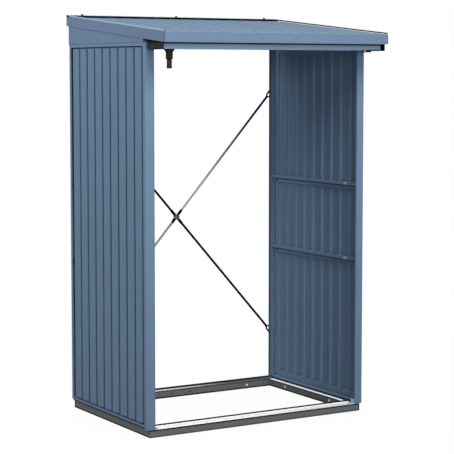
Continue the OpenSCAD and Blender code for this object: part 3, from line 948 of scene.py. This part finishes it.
class Bench:
    """A pattern piece that is shaped with Blender's operators and then copied."""

    def __init__(self, name: str, add: Callable[..., object], **sizes: object) -> None:
        """Adds a primitive with everything else deselected.

        Args:
            name: Name of the pattern.
            add: The primitive's operator.
            sizes: The operator's settings.
        """
        bpy.ops.object.select_all(action="DESELECT")
        add(**sizes)
        self.piece: bpy.types.Object = bpy.context.object
        self.piece.name = name
        bpy.ops.object.transform_apply(location=True, rotation=True, scale=True)

    @classmethod
    def disc(cls, name: str, sides: int, radius: float, height: float,
             foot: float = 0.0, x: float = 0.0) -> "Bench":
        """Starts with an upright cylinder; its underside is at the foot's height."""
        return cls(name, bpy.ops.mesh.primitive_cylinder_add, vertices=sides, radius=radius,
                   depth=height, location=(x, 0.0, foot + height / 2.0))

    @classmethod
    def block(cls, name: str, size: Point, foot: float = 0.0) -> "Bench":
        """Starts with a block; its underside is at the foot's height."""
        return cls(name, bpy.ops.mesh.primitive_cube_add, size=1.0, scale=size,
                   location=(0.0, 0.0, foot + size[2] / 2.0))

    def shape(self, test: FaceTest, *steps: Step) -> "Bench":
        """Runs edit-mode operators on chosen faces.

        Args:
            test: Chooses faces by their centre and normal.
            steps: The operators.

        Returns:
            This bench.
        """
        bpy.context.view_layer.objects.active = self.piece
        bpy.ops.object.mode_set(mode="EDIT")
        bpy.ops.mesh.select_mode(type="FACE")
        mesh = bmesh.from_edit_mesh(self.piece.data)
        for face in mesh.faces:
            face.select_set(test(face.calc_center_median(), face.normal))
        bmesh.update_edit_mesh(self.piece.data)
        for step in steps:
            step()
        bpy.ops.object.mode_set(mode="OBJECT")
        return self

    def raise_faces(self, test: FaceTest, by: float, taper: float = 1.0) -> "Bench":
        """Extrudes chosen faces and narrows their new ends.

        Args:
            test: Chooses the faces.
            by: How far they rise.
            taper: Scale of the new ends in x and y about the axis.

        Returns:
            This bench.
        """
        rise = {"value": (0.0, 0.0, by)}
        return self.shape(
            test,
            lambda: bpy.ops.mesh.extrude_region_move(TRANSFORM_OT_translate=rise),
            lambda: bpy.ops.transform.resize(
                value=(taper, taper, 1.0), center_override=(0.0, 0.0, 0.0)),
        )

    def inset(self, test: FaceTest, by: float) -> "Bench":
        """Insets chosen faces."""
        return self.shape(test, lambda: bpy.ops.mesh.inset(thickness=by))

    def with_part(self, other: "Bench") -> "Bench":
        """Joins another bench's piece to this one.

        Args:
            other: The other bench.

        Returns:
            This bench.
        """
        pick(other.piece, self.piece)
        bpy.ops.object.join()
        return self

    def rounded(self, width: float) -> "Bench":
        """Rounds the sharp edges and shades the piece by angle.

        Args:
            width: Width of the edges.

        Returns:
            This bench.
        """
        pick(self.piece)
        edge = self.piece.modifiers.new("edge", "BEVEL")
        edge.width = width
        edge.segments = EDGE_STEPS
        edge.limit_method = "ANGLE"
        edge.angle_limit = EDGE_ANGLE
        bpy.ops.object.modifier_apply(modifier="edge")
        bpy.ops.object.shade_smooth_by_angle(angle=SMOOTH_ANGLE)
        return self

    def copies(self, slot: Slot, places: Sequence[Matrix]) -> None:
        """Puts copies of the pattern on the store and takes the pattern away.

        Args:
            slot: The copies' material slot.
            places: Where the copies go.
        """
        finish = FINISHES[slot]
        for number, place in enumerate(places, 1):
            copy = self.piece.copy()
            copy.data = self.piece.data.copy()
            copy.name = copy.data.name = f"{self.piece.name}_{number}"
            bpy.context.scene.collection.objects.link(copy)
            pick(copy)
            copy.matrix_world = place
            bpy.ops.object.transform_apply(location=True, rotation=True, scale=True)
            copy.data.materials.clear()
            copy.data.materials.append(finish.material())
            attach(copy, BODY)
            LOG.info("%s: %s", copy.name, finish.name)
        bpy.data.objects.remove(self.piece)


@dataclass(frozen=True)
class Head:
    """The round head of a fastener.

    Attributes:
        sides: Number of its sides.
        radius: Radius over its corners.
        rim: Height of its rim.
        crown: Height of its crown.
        taper: Scale of the crown's top.
    """

    sides: int
    radius: float
    rim: float
    crown: float
    taper: float = 1.0

    def model(self, name: str, foot: float = 0.0, x: float = 0.0) -> Bench:
        """Models the head with its underside at the foot's height."""
        disc = Bench.disc(name, self.sides, self.radius, self.rim, foot, x)
        return disc.raise_faces(facing_up, self.crown, self.taper)


@dataclass
class RoofScrews:
    """Hexagon screws with washers in the rear lip of the roof.

    Attributes:
        spread: Distance of the outer screws from the middle.
        inset: Distance from the rear edge.
        washer: Radius and height of a washer.
        washer_rim: Width of its flat rim.
        washer_crown: Height of its crown.
        head: A screw's head.
        head_foot: Height of its underside.
    """

    spread: float = 0.54
    inset: float = 0.0125
    washer: Pair = (0.0075, 0.0016)
    washer_rim: float = 0.0015
    washer_crown: float = 0.0006
    head: Head = Head(6, 0.0055, 0.0032, 0.0008, 0.82)
    head_foot: float = 0.0020

    def build(self) -> None:
        """Models one screw and sets three."""
        washer = Bench.disc("washer", 24, *self.washer)
        washer.inset(facing_up, self.washer_rim)
        washer.raise_faces(facing_up, self.washer_crown, SLIGHT)
        screw = self.head.model("roof_screw", self.head_foot).with_part(washer)
        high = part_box("rear_fascia")[1]
        y = high[1] - self.inset
        z = high[2] - self.inset * math.tan(ROOF_LEAN)
        across = (-self.spread, 0.0, self.spread)
        places = [turned((x, y, z), ROOF_UP) for x in across]
        screw.rounded(SOFT_EDGE).copies(Slot.SEAL_RUBBER, places)


@dataclass
class BaseFastenings:
    """Rivets, screws and plugs of the base frame.

    Attributes:
        height: Height of the rivets and screws above the ground.
        rivet: A rivet's head.
        rivet_top: Height and taper of the upper step of its dome.
        back_rivets: Places along the back rail.
        side_rivets: Places along a side rail.
        screw: A screw's head.
        recess: Depth of the recess in its head.
        recess_rim: Width of the rim round it, as a share of the radius.
        back_screws: Places along the back rail.
        side_screws: Places along a side rail.
        plug: A plug's head.
        plug_gap: Gap between a plug and the ledge strip.
        plugs_along: Places along a ledge.
    """

    height: float = 0.0195
    rivet: Head = Head(16, 0.0035, 0.0008, 0.0008, 0.8)
    rivet_top: Pair = (0.0005, 0.6)
    back_rivets: tuple[float, ...] = (0.057, 0.513, 0.545)
    side_rivets: tuple[float, ...] = (0.423,)
    screw: Head = Head(20, 0.0055, 0.0016, 0.0009, 0.82)
    recess: float = 0.0012
    recess_rim: float = 0.45
    back_screws: tuple[float, ...] = (0.408,)
    side_screws: tuple[float, ...] = (0.300, -0.115)
    plug: Head = Head(20, 0.0055, 0.003, 0.0015, 0.8)
    plug_gap: float = 0.0003
    plugs_along: tuple[float, ...] = (0.417, -0.2025)

    def inner_faces(self, back: Sequence[float], side: Sequence[float]) -> list[Matrix]:
        """Places on the inner faces of the back rail and of both side rails.

        Args:
            back: Distances from the middle along the back rail.
            side: Places along the side rails.

        Returns:
            The matrices of all the places.
        """
        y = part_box("base_back_rail")[0][1]
        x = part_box("base_right_rail")[0][0]
        return both_hands([((across, y, self.height), TO_FRONT) for across in back]
                          + [((x, along, self.height), TO_MIDDLE) for along in side])

    def rivets(self) -> None:
        """Domed rivets at the rear corners and at the joint in the back rail."""
        dome = self.rivet.model("base_rivet").raise_faces(facing_up, *self.rivet_top)
        places = self.inner_faces(self.back_rivets, self.side_rivets)
        dome.rounded(FINE_EDGE).copies(Slot.ROD_DARK, places)

    def screws(self) -> None:
        """Pan-head screws with a recess along the inner faces."""
        head = self.screw.model("base_screw")
        head.inset(facing_up, self.screw.radius * self.recess_rim)
        head.raise_faces(in_middle, -self.recess, SLIGHT)
        places = self.inner_faces(self.back_screws, self.side_screws)
        # The screws wear the near-white ledge finish as a painted highlight.
        head.rounded(FINE_EDGE).copies(Slot.LEDGE_METAL, places)

    def plugs(self) -> None:
        """Black plugs on the side ledges, next to the strips."""
        cap = self.plug.model("ledge_plug")
        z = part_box("right_ledge_strip")[0][2]
        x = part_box("right_ledge_strip")[1][0] + self.plug.radius + self.plug_gap
        places = both_hands([((x, y, z), Z) for y in self.plugs_along])
        cap.rounded(ROUND_EDGE).copies(Slot.BLACK_PLASTIC, places)

    def build(self) -> None:
        """Builds all the fastenings."""
        self.rivets()
        self.screws()
        self.plugs()


@dataclass
class RingCore:
    """Core of the brace's ring, against which the ends of the rods stand.

    Attributes:
        radius: Radius of the core.
        length: Its length, front to back.
        rim: Width of its rim.
        hollow: Depth of the hollow in each face.
    """

    radius: float = 0.0096
    length: float = 0.008
    rim: float = 0.0025
    hollow: float = 0.0015

    def build(self) -> None:
        """Models the core with a hollow in each face and sets it in the ring."""
        core = Bench.disc("ring_core", 32, self.radius, self.length, foot=-self.length / 2.0)
        for up in (1.0, -1.0):
            core.inset(lambda centre, normal: facing_up(centre, normal * up), self.rim)
            core.raise_faces(lambda centre, normal: in_middle(centre, normal * up),
                             -self.hollow * up, SLIGHT)
        low, high = (Vector(corner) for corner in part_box("brace_ring"))
        middle = tuple((low + high) / 2.0)
        core.rounded(SOFT_EDGE).copies(Slot.ZINC_FITTING, [turned(middle, TO_FRONT)])


@dataclass
class StiffenerClips:
    """Screwed clips on the legs of the stiffeners, near the front posts.

    Attributes:
        size: Length along the wall, height and thickness of a clip.
        place: Its place along the wall.
        rise: Height of its middle above the stiffener's underside.
        head: Its screw's head.
    """

    size: Point = (0.026, 0.012, 0.0016)
    place: float = -0.195
    rise: float = 0.0303
    head: Head = Head(20, 0.0042, 0.0014, 0.0009, 0.8)

    def build(self) -> None:
        """Models one clip with its screw and sets it on all four stiffeners."""
        clip = Bench.block("stiffener_clip", self.size)
        head = self.head.model("clip_screw", self.size[2])
        lows = [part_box(node)[0] for node in ("right_lower_stiffener", "right_upper_stiffener")]
        places = both_hands([((x, self.place, z + self.rise), TO_MIDDLE) for x, _, z in lows])
        # The clips wear the lightened blue paint as a painted highlight.
        clip.with_part(head).rounded(SOFT_EDGE).copies(Slot.GUTTER_COAT, places)


@dataclass
class RoofEdges:
    """Raised edges along both sides of the roof, with a near-black strip inside them that is
    painted shade along their inner faces.

    Attributes:
        front: Where they start.
        back: Where they end.
        rise: Height of an edge above the roof.
        sheet: Its thickness.
        shade_strip: Width of the near-black strip.
        shade_strip_drop: Depth of the strip's top below the edge's.
        shade_strip_inset: Distance of the strip from the side of the roof.
    """

    front: float = -0.506
    back: float = 0.482
    rise: float = 0.0065
    sheet: float = 0.0012
    shade_strip: float = 0.0045
    shade_strip_drop: float = 0.001
    shade_strip_inset: float = 0.00192

    def strip(self, name: str, width: float, height: float, inset: float, slot: Slot) -> None:
        """Models one strip and lays it along both sides of the roof.

        Args:
            name: Name of the strip.
            width: Its width.
            height: Its height above the roof.
            inset: Distance of its middle from the side of the roof.
            slot: Its material slot.
        """
        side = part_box("right_fascia")[1][0]
        front_low, front_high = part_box("front_fascia")
        y = (self.front + self.back) / 2.0
        z = front_high[2] + (y - front_low[1]) * math.tan(ROOF_LEAN)
        length = (self.back - self.front) / math.cos(ROOF_LEAN)
        lean = Matrix.Rotation(ROOF_LEAN, 4, "X")
        strip = Bench.block(name, (width, length, height)).rounded(SOFT_EDGE)
        strip.copies(slot, [place @ lean for place in both_sides(side - inset, y, z)])

    def build(self) -> None:
        """Builds the edges and their strips of painted shade."""
        # The edges wear the lightened blue paint, a painted highlight along their tops.
        self.strip("roof_edge", self.sheet, self.rise, self.sheet, Slot.GUTTER_COAT)
        # A near-black strip inside each edge: painted shade along its inner face.
        self.strip("edge_seal", self.shade_strip, self.rise - self.shade_strip_drop,
                   self.shade_strip_inset + self.shade_strip / 2.0, Slot.SEAL_RUBBER)


@dataclass
class PostFittings:
    """Folded feet and caps of the front posts, toe plates and top cleats of the rear posts.

    Attributes:
        sheet: Thickness of the feet, toes and caps.
        fit: Gap between a toe or cleat and the rail next to it.
        skin: Depth of cleats and caps behind the store's side.
        foot_size: How far a foot runs in from the post, and its depth.
        foot_rise: Height of its upright leg.
        foot_setback: Its distance from the post's front face.
        strip_sheet: Thickness of the ledge strip under it.
        head: Its screw's head.
        head_place: Place of the screw along the foot.
        toe_width: Width of a toe.
        toe_inset: Distance of its middle from the post's side.
        toe_height: Height of its underside.
        cleat_sheet: Thickness of a cleat.
        cleat_setback: Distance of its middle from the post's back.
        cleat_gap: Gap between a cleat and the end of the header.
        cleat_drop: Depth of its top below the header's.
        cap_lap: How far a cap runs in under the gable.
        cap_setback: Its distance from the post's front face.
        cap_cut: Size of its cut corner.
    """

    sheet: float = 0.0015
    fit: float = 0.0002
    skin: float = 0.0014
    foot_size: Pair = (0.026, 0.030)
    foot_rise: float = 0.022
    foot_setback: float = 0.004
    strip_sheet: float = 0.001
    head: Head = Head(16, 0.004, 0.0016, 0.0008)
    head_place: float = -0.003
    toe_width: float = 0.030
    toe_inset: float = 0.0167
    toe_height: float = 0.0491
    cleat_sheet: float = 0.0012
    cleat_setback: float = 0.0020
    cleat_gap: float = 0.0003
    cleat_drop: float = 0.003
    cap_lap: float = 0.0009
    cap_setback: float = 0.0010
    cap_cut: float = 0.0040

    def feet(self) -> None:
        """Models one foot with its screw and sets one at each front post."""
        strip_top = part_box("front_ledge_strip")[0][2] + self.strip_sheet
        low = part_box("front_right_post")[0]
        end = self.foot_size[0] / 2.0
        fold = end - self.sheet
        foot = Bench.block("post_foot", (*self.foot_size, self.sheet))
        foot.shape(facing_up, lambda: bpy.ops.mesh.bisect(
            plane_co=(fold, 0.0, 0.0), plane_no=X))
        foot.raise_faces(lambda centre, normal: facing_up(centre, normal) and centre.x > fold,
                         self.foot_rise)
        head = self.head.model("foot_screw", self.sheet, self.head_place)
        y = low[1] + self.foot_setback + self.foot_size[1] / 2.0
        foot.with_part(head).rounded(SOFT_EDGE)
        # The feet wear the lightened blue paint as a painted highlight.
        foot.copies(Slot.GUTTER_COAT, both_sides(low[0] - end, y, strip_top, "Z"))

    def toes(self) -> None:
        """Plates that carry a bottom rail's seat on to the rear post."""
        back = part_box("rear_right_post")[1]
        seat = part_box("right_bottom_rail")[1]
        front_y, back_y = seat[1] + self.fit, back[1] - self.sheet
        toe = Bench.block("post_toe", (self.toe_width, back_y - front_y, self.sheet))
        places = both_sides(back[0] - self.toe_inset, (front_y + back_y) / 2.0, self.toe_height)
        toe.rounded(FINE_EDGE).copies(Slot.FRAME_COAT, places)

    def cleats(self) -> None:
        """Upright cleats that close the corner of a rear post, the rear header and a gable."""
        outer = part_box("right_gable")[1][0] - self.skin
        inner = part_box("rear_header")[1][0] + self.cleat_gap
        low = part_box("right_top_rail")[1][2] + self.fit
        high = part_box("rear_header")[1][2] - self.cleat_drop
        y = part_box("rear_right_post")[1][1] - self.cleat_setback
        cleat = Bench.block("post_cleat", (outer - inner, self.cleat_sheet, high - low))
        places = both_sides((outer + inner) / 2.0, y, low)
        cleat.rounded(FINE_EDGE).copies(Slot.FRAME_COAT, places)

    def caps(self) -> None:
        """Small plates on the front posts, outside the ends of the header's lower flange."""
        low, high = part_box("front_right_post")
        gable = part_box("right_gable")[0]
        outer, inner = high[0] - self.skin, gable[0] - self.cap_lap
        front_y = low[1] + self.cap_setback
        back_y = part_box("front_header")[1][1] - self.sheet
        wide, deep = outer - inner, back_y - front_y
        half = self.sheet / 2.0
        cap = Bench.block("post_cap", (wide, deep, self.sheet), foot=-half)
        cap.shape(lambda centre, normal: True, lambda: bpy.ops.mesh.bisect(
            plane_co=(wide / 2.0, self.cap_cut - deep / 2.0, 0.0), plane_no=(1.0, -1.0, 0.0),
            use_fill=True, clear_outer=True))
        places = both_sides((outer + inner) / 2.0, (front_y + back_y) / 2.0, high[2] + half, "Y")
        cap.rounded(FINE_EDGE).copies(Slot.FRAME_COAT, places)

    def build(self) -> None:
        """Builds all the fittings."""
        self.feet()
        self.toes()
        self.cleats()
        self.caps()


def main() -> None:
    """Builds the studio and dresses the store."""
    logging.basicConfig(level=logging.INFO)
    bpy.ops.object.select_all(action="DESELECT")
    Studio().build()
    CoatedNodes().dress()
    groups = (RoofScrews(), RoofEdges(), BaseFastenings(), RingCore(), StiffenerClips(),
              PostFittings())
    for group in groups:
        group.build()


if __name__ == "__main__":
    main()
